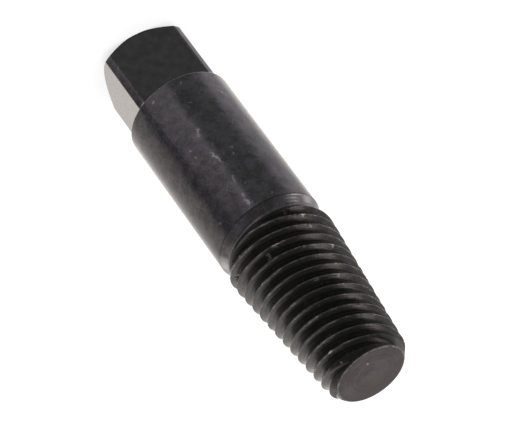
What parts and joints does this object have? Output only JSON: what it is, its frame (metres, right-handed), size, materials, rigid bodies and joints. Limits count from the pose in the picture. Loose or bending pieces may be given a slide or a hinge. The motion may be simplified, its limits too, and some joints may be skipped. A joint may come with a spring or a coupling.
{
  "type": "screw extractor",
  "caption": "Large spiral screw extractor in blackened steel: square drive, round shank and a tapered left-hand multi-start thread that bites into a broken screw.",
  "frame": {"origin": "centre of the flat face at the square drive's end, on the axis", "axes": "+Z along the axis from the drive end to the threaded tip; X and Y square to the drive's flats"},
  "size_m": [0.027, 0.027, 0.1091],
  "materials": {
    "blackened_steel": "satin black oxide over ground and milled tool steel"
  },
  "bodies": {
    "root": {"screw_extractor": "blackened_steel"}
  },
  "joints": []
}
